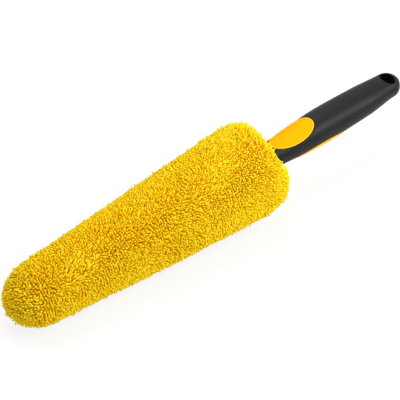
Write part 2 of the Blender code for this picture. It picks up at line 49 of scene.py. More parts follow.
def linear(hex_colour):
    """Turns an sRGB hex colour into linear RGBA: each channel under 0.04045 is divided by 12.92,
    and a larger one is shifted by 0.055, divided by 1.055 and raised to 2.4."""
    channels = np.array([int(hex_colour[at:at + 2], 16) for at in (1, 3, 5)]) / 255
    raised = np.where(channels <= 0.04045, channels / 12.92, ((channels + 0.055) / 1.055) ** 2.4)
    return (*raised, 1.0)


def add_node(material, kind, sockets=None, **settings):
    """Adds one node to a material, sets its properties, and sets or links its input sockets."""
    made = material.node_tree.nodes.new(kind)
    for name, value in settings.items():
        setattr(made, name, value)
    for name, value in (sockets or {}).items():
        if isinstance(value, bpy.types.NodeSocket):
            material.node_tree.links.new(value, made.inputs[name])
        else:
            made.inputs[name].default_value = value
    return made


def start_material(name, sockets):
    """New material whose principled shader has the given constants; returns it and the shader."""
    material = bpy.data.materials.new(name)
    material.use_nodes = True
    shader = material.node_tree.nodes["Principled BSDF"]
    for socket, value in sockets.items():
        shader.inputs[socket].default_value = value
    return material, shader


def drive(material, shader, **outputs):
    """Links node outputs to the shader's sockets, whose names are written with underscores."""
    for name, output in outputs.items():
        material.node_tree.links.new(output, shader.inputs[name.replace("_", " ")])


# Matt polypropylene: a dull even black with a faint mottle where the mould was spark eroded.
core_black, core_shader = start_material(
    "matt_moulded_polypropylene", {"IOR": 1.49, "Specular IOR Level": 0.4})
CORE_GRAIN = 0.0007  # metres; drawn at twice the real grain so that it shows
core_place = add_node(core_black, "ShaderNodeTexCoord").outputs["Object"]
core_grain = add_node(core_black, "ShaderNodeTexNoise", {
    "Vector": core_place, "Scale": 1 / CORE_GRAIN, "Detail": 3.0})
core_tone = add_node(core_black, "ShaderNodeMix", {
    "Factor": core_grain.outputs["Fac"], "A": linear("#1b1b1c"), "B": linear("#2c2c2d")},
    data_type="RGBA")
core_rough = add_node(core_black, "ShaderNodeMapRange", {
    "Value": core_grain.outputs["Fac"], "To Min": 0.5, "To Max": 0.7})
core_bump = add_node(core_black, "ShaderNodeBump", {
    "Height": core_grain.outputs["Fac"], "Strength": 0.25, "Distance": 0.0002})
drive(core_black, core_shader, Base_Color=core_tone.outputs["Result"],
      Roughness=core_rough.outputs["Result"], Normal=core_bump.outputs["Normal"])
bpy.data.objects["core"].data.materials.clear()
bpy.data.objects["core"].data.materials.append(core_black)


# Core screws: two pan-head self-tapping screws, zinc-plated steel, driven up through the
# underside of the collar into the core's tang.

MM, PER_METRE = 0.001, 1000  # metres in a millimetre, and millimetres in a metre
MOUTH_AT = np.array([0.062498, 0.000021, 0.042437])  # metres; the middle of the sleeve's mouth
along = np.array(frame["record"]["behaviour"]["joints"][0]["axis"])
along = along / np.linalg.norm(along)
upward = np.array([-along[2], 0.0, along[0]])
across = np.array([0.0, 1.0, 0.0])


def place(points):
    """Carries points in the brush's own millimetres, x from the mouth to the butt and z out of the
    thumb pad, to the frame: the mouth's place plus x along, y across and z up the brush."""
    turned = (points[..., :1] * along + points[..., 1:2] * across + points[..., 2:3] * upward)
    return MOUTH_AT + MM * turned


def quad_mesh(name, points, quads):
    """Mesh of quads, from an array of points in metres and an array of four indices a row."""
    mesh = bpy.data.meshes.new(name)
    mesh.vertices.add(len(points))
    mesh.vertices.foreach_set("co", np.ascontiguousarray(points, dtype=np.float32).ravel())
    mesh.loops.add(quads.size)
    mesh.loops.foreach_set("vertex_index", np.ascontiguousarray(quads, dtype=np.int32).ravel())
    mesh.polygons.add(len(quads))
    mesh.polygons.foreach_set("loop_start", np.arange(0, quads.size, 4, dtype=np.int32))
    mesh.update(calc_edges=True)
    return mesh


def smooth(mesh, crease):
    """Shades a mesh smooth, apart from edges that are folded by more than crease degrees."""
    mesh.polygons.foreach_set("use_smooth", np.ones(len(mesh.polygons), dtype=bool))
    mesh.set_sharp_from_angle(angle=math.radians(crease))
    mesh.update()


MEET, SLIVER = 1e-6, 5e-5  # metres; points that meet, and points that a cut leaves too close


def mend(mesh, apart=MEET):
    """Merges the points of a mesh that are less than a distance apart, drops faces without area,
    splits those with more than four corners into triangles, and turns all faces outwards."""
    work = bmesh.new()
    work.from_mesh(mesh)
    bmesh.ops.remove_doubles(work, verts=work.verts, dist=apart)
    bmesh.ops.dissolve_degenerate(work, edges=work.edges, dist=MEET)
    bmesh.ops.triangulate(work, faces=[face for face in work.faces if len(face.verts) > 4])
    bmesh.ops.recalc_face_normals(work, faces=work.faces)
    work.to_mesh(mesh)
    work.free()


def skin(name, grid, ring=False, crease=40, **marks):
    """Object over a grid of points in brush millimetres: each point joins the next in its row and
    column by a quad, the last column joins the first, and so does the last row where ring is set.
    Points that meet, as at a pole, are merged, and the faces are turned outwards. A mark is a
    number for each point, which the material reads."""
    rows, columns = grid.shape[:2]
    index = np.arange(rows * columns).reshape(rows, columns)
    index = np.hstack([index, index[:, :1]])
    if ring:
        index = np.vstack([index, index[:1]])
    quads = np.stack(
        [index[:-1, :-1], index[:-1, 1:], index[1:, 1:], index[1:, :-1]], axis=-1).reshape(-1, 4)
    mesh = quad_mesh(name, place(grid.reshape(-1, 3)), quads)
    for label, values in marks.items():
        mesh.attributes.new(label, "FLOAT", "POINT").data.foreach_set(
            "value", values.astype(np.float32).ravel())
    mend(mesh)
    smooth(mesh, crease)
    made = bpy.data.objects.new(name, mesh)
    bpy.context.scene.collection.objects.link(made)
    return made


SCREW_AT, SCREW_ASIDE = -24.0, 4.0
SCREW_FACE, SCREW_SEAT, SCREW_END = -7.33, -5.53, 2.0  # heights of the head's face, its seat and the point
SCREW_HEAD, SCREW_ROOT, SCREW_THREAD = 2.7, 1.0, 1.3  # radii
THREAD_PITCH, THREAD_FROM, THREAD_STEEP = 1.1, SCREW_SEAT + 0.3, 2.2
FACE_FLAT, FACE_RINGS = 1.7, 18
HEAD_CROWN = ((2.2, 0.1), (2.55, 0.4), (SCREW_HEAD, 0.8))  # radius, and height from the face
HEAD_BREAK, HEAD_NARROWS, NECK_FILLET = 0.15, 0.12, 0.2
POINT_LENGTH, SHANK_RINGS, SCREW_SIDES = 1.6, 78, 64
RECESS_REACH, RECESS_HALF, RECESS_DEPTH = 1.45, 0.36, 0.95
RECESS_WALL, RECESS_TAPER = 0.12, 2.2


def screw_grid(aside):
    """Screw turned about its own z: a pan head, then a thread whose radius rises from the root to
    the crest in a ridge that climbs one pitch a turn, then a point. Inside the cross, where the
    nearer of the two plan offsets is under the arm's half width, the head's face is sunk."""
    turn = np.linspace(0, 2 * math.pi, SCREW_SIDES, endpoint=False)[None, :]
    flat = np.linspace(0, FACE_FLAT, FACE_RINGS)
    face = np.stack([flat, np.full(FACE_RINGS, SCREW_FACE)], axis=1)
    crown = np.array(HEAD_CROWN) + [0, SCREW_FACE]
    seat = np.array([[SCREW_HEAD, SCREW_SEAT - HEAD_BREAK], [SCREW_HEAD - HEAD_NARROWS, SCREW_SEAT],
                     [SCREW_ROOT + NECK_FILLET, SCREW_SEAT], [SCREW_ROOT, SCREW_SEAT + NECK_FILLET]])
    heights = np.linspace(THREAD_FROM, SCREW_END, SHANK_RINGS)
    narrowing = np.sqrt(np.clip((SCREW_END - heights) / POINT_LENGTH, 0, 1))
    shank = np.stack([SCREW_ROOT * narrowing, heights], axis=1)
    radius, height = np.vstack([face, crown, seat, shank]).T[:, :, None]
    climb = np.abs((height / THREAD_PITCH - turn / (2 * math.pi)) % 1 - 0.5) * 2
    ridge = np.clip(1 - THREAD_STEEP * climb, 0, 1) * (height > THREAD_FROM)
    radius = radius + ridge * (SCREW_THREAD - SCREW_ROOT) * (radius / SCREW_ROOT)
    x, y = radius * np.cos(turn), radius * np.sin(turn)
    arm = np.minimum(np.abs(x), np.abs(y))
    inside = (radius < RECESS_REACH) & (height <= SCREW_FACE)
    walls = np.clip((RECESS_HALF - arm) / RECESS_WALL, 0, 1)
    sunk = inside * walls * RECESS_DEPTH * (1 - radius / RECESS_TAPER)
    return np.stack([SCREW_AT + x, aside + y, height + sunk + 0 * turn], axis=-1)


# Zinc-plated steel: bright grey metal, slightly clouded by the plating.
screw_zinc, screw_shader = start_material("zinc_plated_steel", {"Metallic": 1.0})
CLOUD = 0.0009  # metres between clouds of the plating
screw_cloud = add_node(screw_zinc, "ShaderNodeTexNoise", {
    "Vector": add_node(screw_zinc, "ShaderNodeTexCoord").outputs["Object"], "Scale": 1 / CLOUD})
screw_tone = add_node(screw_zinc, "ShaderNodeMix", {
    "Factor": screw_cloud.outputs["Fac"], "A": linear("#b9babb"), "B": linear("#d2d2cd")},
    data_type="RGBA")
screw_rough = add_node(screw_zinc, "ShaderNodeMapRange", {
    "Value": screw_cloud.outputs["Fac"], "To Min": 0.22, "To Max": 0.4})
drive(screw_zinc, screw_shader, Base_Color=screw_tone.outputs["Result"],
      Roughness=screw_rough.outputs["Result"])


def finish_piece(piece, material, body, slot, *nodes):
    """Gives a piece its material, puts it on its body, and hides the CAD nodes it takes the place of. The
    slot is not used.
    """
    piece.data.materials.clear()
    piece.data.materials.append(material)
    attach(piece, body)
    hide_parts(*nodes)
    return piece


for side, aside in (("left", SCREW_ASIDE), ("right", -SCREW_ASIDE)):
    finish_piece(skin(f"threaded_screw_{side}", screw_grid(aside)), screw_zinc,
                 "grip", "screw_steel", f"core_screw_{side}")


# Grip: one moulding in satin black polypropylene, slim at the neck, fullest at the belly, with a
# rounded butt and an oval hang hole. Its collar goes into the sleeve and takes the core's tang.

GRIP_LENGTH, COLLAR_LENGTH = 150.0, 32.0
BUTT_HALF, BUTT_TAPER = 12.7, 0.7
BUTT_AT = GRIP_LENGTH - BUTT_HALF
GRIP_STATIONS = np.array([  # x, half width, height above and below the axis, fullness of corners
    [-COLLAR_LENGTH, 11.0, 10.0, 10.0, 0.0],
    [-10.0, 11.0, 10.0, 10.0, 0.0],
    [10.0, 12.8, 11.0, 11.2, 0.0157],
    [28.0, 14.1, 12.2, 12.6, 0.0157],
    [62.0, 15.8, 14.4, 13.4, 0.0157],
    [106.0, 15.3, 12.6, 11.8, 0.0157],
    [BUTT_AT, BUTT_HALF, 10.4, 8.4, 0.0289],
])
GRIP_RINGS = (  # from x, to x, rings; closest together where the pads' rims are
    (-COLLAR_LENGTH, 20.0, 66), (20.0, 126.0, 190), (126.0, BUTT_AT, 30))
BUTT_RINGS, GRIP_SIDES = 44, 192
HOLE_HALF, HOLE_WALL = np.array([5.75, 8.25]), 5.5
HOLE_AT = GRIP_LENGTH - HOLE_WALL - HOLE_HALF[0]
HOLE_ROUND, LIP_ROUND = 0.8, 0.5
LEAST_SHARE, LEAST_SLOPE = 1e-6, 1e-3  # keep the middle of an oval from being divided by nothing
WALL_FLAT = np.array([[106.0, 0.0, -11.8], [BUTT_AT, 0.0, -7.2]])  # from the waist to the butt


def grip_sizes(x):
    """Half width, heights and fullness of the grip at x: cubic curves through the stations,
    whose slope at a station is the harmonic mean of the slopes beside it, or level at a peak."""
    at, values = GRIP_STATIONS[:, 0], GRIP_STATIONS[:, 1:]
    span = np.diff(at)
    rise = np.diff(values, axis=0) / span[:, None]
    before, after = rise[:-1], rise[1:]
    alike = before * after > 0
    slope = np.where(alike, 2 * before * after / np.where(alike, before + after, 1), 0)
    slope = np.vstack([0 * slope[:1], slope, slope[-1:]])
    x = np.clip(x, at[0], at[-1])
    step = np.clip(np.searchsorted(at, x, side="right") - 1, 0, len(span) - 1)
    share = ((x - at[step]) / span[step])[..., None]
    width = span[step][..., None]
    return ((2 * share ** 3 - 3 * share ** 2 + 1) * values[step]
            + (share ** 3 - 2 * share ** 2 + share) * width * slope[step]
            + (3 * share ** 2 - 2 * share ** 3) * values[step + 1]
            + (share ** 3 - share ** 2) * width * slope[step + 1])


def grip_point(x, angle):
    """Point of the grip's skin: an ellipse at x, filled out at its corners by a share of the third
    harmonic. Past the butt's centre its width follows a circle and its height a blunter curve."""
    x, angle = np.broadcast_arrays(np.asarray(x, dtype=float), np.asarray(angle, dtype=float))
    half, top, bottom, full = np.moveaxis(grip_sizes(x), -1, 0)
    narrow = np.sqrt(1 - np.clip((x - BUTT_AT) / BUTT_HALF, 0, 1) ** 2)
    y = half * narrow * (np.cos(angle) - full * np.cos(3 * angle)) / (1 - full)
    z = ((top - bottom) / 2 + (top + bottom) / 2 * narrow ** BUTT_TAPER
         * (np.sin(angle) + full * np.sin(3 * angle)) / (1 - full))
    return np.stack([x, y, z], axis=-1)


def grip_normal(x, angle):
    """Outward normal of the grip's skin: the cross product of its steps along and round it."""
    step, swing = 0.2, 0.01
    ahead = grip_point(x + step, angle) - grip_point(x - step, angle)
    round_it = grip_point(x, angle + swing) - grip_point(x, angle - swing)
    normal = np.cross(round_it, ahead)
    return normal / np.linalg.norm(normal, axis=-1, keepdims=True)


PAD_DEPTH, PAD_CLEAR = 2.0, 0.9
BEAD_IN, BEAD_HALF, BEAD_HIGH = 0.6, 0.4, 0.25
PADS = {  # x of the middle, length, and wrap and middle angle in degrees
    "thumb": (25.5, 47.0, 106.0, 90.0),
    "finger": (53.0, 73.0, 138.0, 270.0),
}
PAD_PROUD = {"thumb": 0.25, "finger": 0.8}
PAD_ROUND = {"thumb": 0.45, "finger": 2.0}
PAD_SIDES, PAD_RINGS, RIM_CROWDING = 120, 34, 1.8


def past_rim(name, x, angle):
    """Millimetres by which a place on the grip lies outside a pad's rim: the pad is an ellipse in x
    and angle, and the distance is the place's share of the ellipse, less 1, over its slope."""
    centre, length, wrap, middle = PADS[name]
    reach = np.array([length / 2, math.radians(wrap) / 2])
    swing = (angle - math.radians(middle) + math.pi) % (2 * math.pi) - math.pi
    aside = np.stack([x - centre, swing], axis=-1)
    share = np.maximum(np.linalg.norm(aside / reach, axis=-1), LEAST_SHARE)
    radius = grip_sizes(x)[..., 0]
    slope = np.hypot(aside[..., 0] / reach[0] ** 2, aside[..., 1] / reach[1] ** 2 / radius) / share
    return (share - 1) / np.maximum(slope, LEAST_SLOPE)


def rounding(distance, radius):
    """How far a rounded edge falls below its face, at a distance from the edge: a quarter circle."""
    inward = radius - np.clip(distance, 0, radius)
    return radius - np.sqrt(radius ** 2 - inward ** 2)


def grip_grid():
    """Skin of the grip from the collar's end to the butt, closed at both poles, with the rims of
    the pad pockets and of the hang hole rounded over."""
    shaft = [np.linspace(start, stop, rings)[1:] for start, stop, rings in GRIP_RINGS]
    butt_turn = np.linspace(0, math.pi / 2, BUTT_RINGS)[1:-1]
    x = np.concatenate([[-COLLAR_LENGTH], *shaft, BUTT_AT + BUTT_HALF * np.sin(butt_turn)])
    angle = np.linspace(0, 2 * math.pi, GRIP_SIDES, endpoint=False)
    x, angle = np.broadcast_arrays(x[:, None], angle[None, :])
    points = grip_point(x, angle)
    fall = sum(rounding(past_rim(name, x, angle), LIP_ROUND) for name in PADS)
    points = points - grip_normal(np.minimum(x, BUTT_AT), angle) * fall[..., None]
    plan = (points[..., :2] - [HOLE_AT, 0]) / HOLE_HALF
    share = np.maximum(np.linalg.norm(plan, axis=-1), LEAST_SHARE)
    edge = (share - 1) * share / np.maximum(np.linalg.norm(plan / HOLE_HALF, axis=-1), LEAST_SLOPE)
    points[..., 2] -= np.sign(np.sin(angle)) * rounding(edge, HOLE_ROUND)
    front = np.broadcast_to([-COLLAR_LENGTH, 0, 0], (1, *points.shape[1:]))
    butt = np.broadcast_to(grip_point(GRIP_LENGTH, 0), (1, *points.shape[1:]))
    return np.concatenate([front, points, butt])


def pad_places(name, grow):
    """X and angle of places over a pad's oval, widened by grow: rings of points that run out from
    its middle, closer together towards the rim."""
    centre, length, wrap, middle = PADS[name]
    reach = length / 2 + grow
    swing = math.radians(wrap) / 2 + grow / GRIP_STATIONS[:, 1].max()
    turn = np.linspace(0, 2 * math.pi, PAD_SIDES, endpoint=False)[None, :]
    share = 1 - np.linspace(1, 0, PAD_RINGS)[:, None] ** RIM_CROWDING
    return centre + reach * share * np.cos(turn), math.radians(middle) + swing * share * np.sin(turn)


def pad_bead(name):
    """Share of the low bead round a pad's face, over its places, as a bell curve of the distance in
    from the rim, and that distance."""
    inset = -past_rim(name, *pad_places(name, 0))
    return np.exp(-((inset - BEAD_IN) / BEAD_HALF) ** 2), inset


def pad_grid(name, grow, above, below):
    """Lens-shaped solid on the grip's skin over a pad's oval: its rings run out on an upper face at
    a height above the skin, which may differ from place to place, and back on one below it."""
    x, angle = pad_places(name, grow)
    skin_at, normal = grip_point(x, angle), grip_normal(x, angle)
    above = np.broadcast_to(above, x.shape)[..., None]
    return np.concatenate([skin_at + normal * above, (skin_at - normal * below)[::-1]])


def straight_hole(x, y, half_x, half_y, low, high, sides):
    """Upright oval prism for cutting a hole through the grip: rows of points, at its lower middle,
    lower rim, upper rim and upper middle."""
    turn = np.linspace(0, 2 * math.pi, sides, endpoint=False)
    rim = np.stack([x + half_x * np.cos(turn), y + half_y * np.sin(turn)], axis=-1)
    size = np.array([0, 1, 1, 0])[:, None, None]
    plan = [x, y] + size * (rim - [x, y])
    z = np.array([low, low, high, high])[:, None] + 0 * turn
    return np.concatenate([plan, z[..., None]], axis=-1)


def block(low, high):
    """Box from its lowest to its highest corner, as a grid of four closed rings of four corners."""
    turn = np.array([[0, 0], [1, 0], [1, 1], [0, 1]])
    low, high = np.array(low), np.array(high)
    ring = low[1:] + turn * (high - low)[1:]
    middle = np.broadcast_to((low + high)[1:] / 2, (4, 2))
    rows = [(low[0], middle), (low[0], ring), (high[0], ring), (high[0], middle)]
    return np.stack([np.concatenate([np.full((4, 1), x), sides], axis=1) for x, sides in rows])


WALL_CUT = ((-10, -30, 0), (80, 30, 20))  # from the flat's start: along it, aside and down


def wall_block():
    """Box whose upper face lies on the wall flat's line, below which the butt is cut away."""
    run = WALL_FLAT[1] - WALL_FLAT[0]
    run = run / np.linalg.norm(run)
    down = np.array([run[2], 0, -run[0]])
    corners = block(*WALL_CUT)
    return WALL_FLAT[0] + corners[..., :1] * run + corners[..., 1:2] * across + corners[..., 2:] * down


def carve(piece, cutters, crease):
    """Cuts the cutters out of a piece by exact Booleans, applies them, and mends and shades it."""
    for cutter in cutters:
        cut = piece.modifiers.new("cut", "BOOLEAN")
        cut.operation, cut.solver, cut.object = "DIFFERENCE", "EXACT", cutter
    bpy.context.view_layer.update()
    ready = piece.evaluated_get(bpy.context.evaluated_depsgraph_get())
    mesh = bpy.data.meshes.new_from_object(ready)
    piece.modifiers.clear()
    piece.data, spare = mesh, piece.data
    mesh.name = piece.name
    bpy.data.meshes.remove(spare)
    for cutter in cutters:
        bpy.data.meshes.remove(cutter.data)
    mend(mesh, SLIVER)
    smooth(mesh, crease)


TANG_LENGTH, TANG_HALF = 58.0, np.array([7.0, 3.0])
SOCKET_CLEAR, BORE_CLEAR = 0.3, 0.3
POCKET_OVER, SOCKET_OVER, HOLE_OVER, BORE_FROM = 6.0, 5.0, 30.0, -20.0  # the cutters stand out of the grip
HOLE_SIDES, BORE_SIDES = 96, 48
grip_moulding = skin("grip_moulding", grip_grid())
cutters = [skin(f"pocket_{name}", pad_grid(name, PAD_CLEAR, POCKET_OVER, PAD_DEPTH + PAD_CLEAR))
           for name in PADS]
cutters.append(skin("hole", straight_hole(HOLE_AT, 0, *HOLE_HALF, -HOLE_OVER, HOLE_OVER, HOLE_SIDES)))
cutters.append(skin("wall", wall_block()))
cutters.append(skin("socket", block(
    [-COLLAR_LENGTH - SOCKET_OVER, *(-TANG_HALF - SOCKET_CLEAR)],
    [-COLLAR_LENGTH + TANG_LENGTH + SOCKET_CLEAR, *(TANG_HALF + SOCKET_CLEAR)])))
for aside in (SCREW_ASIDE, -SCREW_ASIDE):
    for radius, top in ((SCREW_HEAD, SCREW_SEAT), (SCREW_THREAD, SCREW_END)):
        roomy = radius + BORE_CLEAR
        cutters.append(skin(f"bore_{aside:g}", straight_hole(
            SCREW_AT, aside, roomy, roomy, BORE_FROM, top, BORE_SIDES)))
carve(grip_moulding, cutters, crease=38)

# Satin polypropylene: deep grey-black with a soft broad gloss, a fine spark-eroded grain, and
# slightly polished cloudy patches where the hand goes.
grip_black, grip_shader = start_material(
    "satin_moulded_polypropylene", {"IOR": 1.49, "Specular IOR Level": 0.2})
GRIP_GRAIN, HAND_POLISH = 0.0006, 0.022  # metres; the grain is drawn at twice its real size
grip_place = add_node(grip_black, "ShaderNodeTexCoord").outputs["Object"]
grip_grain = add_node(grip_black, "ShaderNodeTexNoise", {
    "Vector": grip_place, "Scale": 1 / GRIP_GRAIN, "Detail": 2.0})
grip_polish = add_node(grip_black, "ShaderNodeTexNoise", {
    "Vector": grip_place, "Scale": 1 / HAND_POLISH, "Detail": 2.0})
grip_tone = add_node(grip_black, "ShaderNodeMix", {
    "Factor": grip_grain.outputs["Fac"], "A": linear("#0b0b0c"), "B": linear("#121213")},
    data_type="RGBA")
grip_rough = add_node(grip_black, "ShaderNodeMapRange", {
    "Value": grip_polish.outputs["Fac"], "From Min": 0.3, "From Max": 0.7,
    "To Min": 0.43, "To Max": 0.49})
grip_bump = add_node(grip_black, "ShaderNodeBump", {
    "Height": grip_grain.outputs["Fac"], "Strength": 0.12, "Distance": 0.0001})
drive(grip_black, grip_shader, Base_Color=grip_tone.outputs["Result"],
      Roughness=grip_rough.outputs["Result"], Normal=grip_bump.outputs["Normal"])
finish_piece(grip_moulding, grip_black, "grip", "grip_black", "grip_body")

# Rough polypropylene: without gloss, where the mould's pin for the hang hole left a coarse wall,
# and painted darker than the grip as the shade inside the hole.
hole_painted_shade, hole_shader = start_material(
    "rough_polypropylene_painted_shade", {"IOR": 1.49, "Specular IOR Level": 0.03, "Roughness": 0.9})
HOLE_GRAIN = 0.0012  # metres; the pin's tool marks
HOLE_NEAR = 0.004  # share of the hole's half sizes that its wall's faces may lie off the oval
hole_grain = add_node(hole_painted_shade, "ShaderNodeTexNoise", {
    "Vector": add_node(hole_painted_shade, "ShaderNodeTexCoord").outputs["Object"], "Scale": 1 / HOLE_GRAIN})
# Near black, darker than the grip's own black: painted shade inside the hang hole.
hole_shade_tone = add_node(hole_painted_shade, "ShaderNodeMix", {
    "Factor": hole_grain.outputs["Fac"], "A": linear("#060606"), "B": linear("#0b0b0b")},
    data_type="RGBA")
drive(hole_painted_shade, hole_shader, Base_Color=hole_shade_tone.outputs["Result"])


def hole_faces(mesh):
    """Which faces of the grip are the hang hole's wall: their middles lie on its oval in plan,
    where the squared shares of its half sizes add up to 1."""
    middle = np.empty(3 * len(mesh.polygons), dtype=np.float32)
    mesh.polygons.foreach_get("center", middle)
    offset = PER_METRE * (middle.reshape(-1, 3) - MOUTH_AT)
    plan = np.stack([offset @ along - HOLE_AT, offset @ across], axis=-1) / HOLE_HALF
    return np.abs(np.linalg.norm(plan, axis=-1) - 1) < HOLE_NEAR


grip_moulding.data.materials.append(hole_painted_shade)
grip_moulding.data.polygons.foreach_set(
    "material_index", hole_faces(grip_moulding.data).astype(np.int32))


# Pads: a short oval for the thumb on top and a long one for the fingers underneath, moulded in
# soft yellow thermoplastic rubber and pressed into their pockets in the grip.

# Soft-touch rubber: strong even yellow, a broad dull sheen, no sharp highlight, a very fine matt
# skin that the mould leaves, and a paler yellow painted on the bead round the rim as a highlight.
pad_yellow, pad_shader = start_material(
    "soft_touch_rubber", {"IOR": 1.5, "Specular IOR Level": 0.03})
RUBBER_SKIN, RUBBER_CLOUD = 0.0007, 0.012  # metres; the skin is drawn coarser than it is
pad_place = add_node(pad_yellow, "ShaderNodeTexCoord").outputs["Object"]
pad_skin = add_node(pad_yellow, "ShaderNodeTexNoise", {
    "Vector": pad_place, "Scale": 1 / RUBBER_SKIN, "Detail": 2.0})
pad_cloud = add_node(pad_yellow, "ShaderNodeTexNoise", {
    "Vector": pad_place, "Scale": 1 / RUBBER_CLOUD, "Detail": 2.0})
pad_face = add_node(pad_yellow, "ShaderNodeMix", {
    "Factor": pad_cloud.outputs["Fac"], "A": linear("#e6a500"), "B": linear("#ecac00")},
    data_type="RGBA")
pad_bead_highlight = add_node(pad_yellow, "ShaderNodeAttribute", attribute_name="bead")
# The paler yellow mixed in over the bead is a painted highlight along the pad's rim.
pad_tone = add_node(pad_yellow, "ShaderNodeMix", {
    "Factor": pad_bead_highlight.outputs["Fac"], "A": pad_face.outputs["Result"], "B": linear("#fac930")},
    data_type="RGBA")
pad_rough = add_node(pad_yellow, "ShaderNodeMapRange", {
    "Value": pad_cloud.outputs["Fac"], "To Min": 0.5, "To Max": 0.62})
pad_bump = add_node(pad_yellow, "ShaderNodeBump", {
    "Height": pad_skin.outputs["Fac"], "Strength": 0.08, "Distance": 0.0001})
drive(pad_yellow, pad_shader, Base_Color=pad_tone.outputs["Result"],
      Roughness=pad_rough.outputs["Result"], Normal=pad_bump.outputs["Normal"])
for name in PADS:
    bead, inset = pad_bead(name)
    height = PAD_PROUD[name] + BEAD_HIGH * bead - rounding(inset, PAD_ROUND[name])
    # The bead's share goes on the pad as a mark, where the material paints the rim's highlight.
    pad = skin(f"soft_pad_{name}", pad_grid(name, 0, height, PAD_DEPTH),
               bead=np.concatenate([bead, 0 * bead]))
    finish_piece(pad, pad_yellow, "grip", f"{name}_yellow", f"{name}_pad")


# Foam: two halves of grey open-cell foam that pad the head between the core and the pile cloth,
# cut to a taper and glued to the cloth.

FOAM_VOXEL, DENT_DEPTH = 0.0022, 0.00025  # metres
DENT_LENGTHS, DENT_WAVES, DENT_SEED = (6, 14), 12, 5  # lengths in millimetres

# Open-cell foam: dull mid grey, no gloss, pitted with small dark cells.
foam_grey, foam_shader = start_material(
    "open_cell_foam", {"Roughness": 0.95, "Specular IOR Level": 0.2, "Sheen Weight": 0.1})
FOAM_CELL = 0.0012  # metres across a cell
foam_cell = add_node(foam_grey, "ShaderNodeTexVoronoi", {
    "Vector": add_node(foam_grey, "ShaderNodeTexCoord").outputs["Object"], "Scale": 1 / FOAM_CELL})
foam_tone = add_node(foam_grey, "ShaderNodeMix", {
    "Factor": foam_cell.outputs["Distance"], "A": linear("#5f6062"), "B": linear("#8d8e90")},
    data_type="RGBA")
foam_bump = add_node(foam_grey, "ShaderNodeBump", {
    "Height": foam_cell.outputs["Distance"], "Strength": 0.6, "Distance": 0.0004})
drive(foam_grey, foam_shader, Base_Color=foam_tone.outputs["Result"],
      Normal=foam_bump.outputs["Normal"])


def waves(points, lengths, count, seed):
    """Smooth noise round 0 with a standard deviation of about 1: the sum of count sine waves that run
    through the points in seeded directions, each with a length drawn between the two given, in the
    points' unit, times the root of 2 / count."""
    draw = np.random.default_rng(seed)
    heading = draw.normal(size=(count, 3))
    heading *= (2 * math.pi / draw.uniform(*lengths, size=count)
                / np.linalg.norm(heading, axis=1))[:, None]
    return np.sin(points @ heading.T + draw.uniform(0, 2 * math.pi, size=count)) @ np.full(
        count, math.sqrt(2 / count))


for half in ("top", "bottom"):
    foam_mesh = bpy.data.objects[f"foam_{half}"].data.copy()
    mend(foam_mesh)
    foam = bpy.data.objects.new(f"foam_padding_{half}", foam_mesh)
    bpy.context.scene.collection.objects.link(foam)
    voxels = foam.modifiers.new("voxels", "REMESH")
    voxels.mode, voxels.voxel_size, voxels.use_smooth_shade = "VOXEL", FOAM_VOXEL, True
    bpy.context.view_layer.update()
    ready = foam.evaluated_get(bpy.context.evaluated_depsgraph_get())
    dented = bpy.data.meshes.new_from_object(ready)
    foam.modifiers.clear()
    foam.data = dented
    bpy.data.meshes.remove(foam_mesh)
    dented.name = foam.name
    spots, normals = np.empty((2, len(dented.vertices) * 3), dtype=np.float32)
    dented.vertices.foreach_get("co", spots)
    dented.vertices.foreach_get("normal", normals)
    spots, normals = spots.reshape(-1, 3), normals.reshape(-1, 3)
    swell = waves(spots * PER_METRE, DENT_LENGTHS, DENT_WAVES, DENT_SEED)
    dents = -DENT_DEPTH * np.clip(1 + swell, 0, 2)
    dented.vertices.foreach_set("co", (spots + normals * dents[:, None]).astype(np.float32).ravel())
    dented.update()
    finish_piece(foam, foam_grey, "sleeve", "foam_grey", f"foam_{half}")


# Mouth band: a ring of woven black elastic sewn into the sleeve's mouth, which grips the collar.
# Its outside is gathered into small ribs.

BAND_FROM, BAND_WIDTH = -17.0, 7.0
BAND_INNER, BAND_OUTER = np.array([11.3, 10.3]), np.array([13.8, 12.8])
BAND_RIBS, RIB_DEPTH, RIB_POINTS = 52, 0.35, 8
BAND_SIDES, BAND_CORNER = 40, 0.4  # points round its section, and the power that rounds its corners


def band_grid():
    """Ring carried round the collar: its section is a rectangle with rounded corners, made by the
    cosine and sine raised to two fifths, and its outside sinks between ribs by a cosine."""
    turn = np.linspace(0, 2 * math.pi, RIB_POINTS * BAND_RIBS, endpoint=False)[None, :]
    part = np.linspace(0, 2 * math.pi, BAND_SIDES, endpoint=False)[:, None]
    side = np.sign(np.cos(part)) * np.abs(np.cos(part)) ** BAND_CORNER
    out = (1 + np.sign(np.sin(part)) * np.abs(np.sin(part)) ** BAND_CORNER) / 2
    sunk = RIB_DEPTH * (1 - np.cos(BAND_RIBS * turn)) / 2 * out
    x = BAND_FROM + BAND_WIDTH / 2 * (1 + side) + 0 * turn
    reach = [BAND_INNER[axis] + out * (BAND_OUTER - BAND_INNER)[axis] - sunk for axis in (0, 1)]
    return np.stack([x, reach[0] * np.cos(turn), reach[1] * np.sin(turn)], axis=-1)


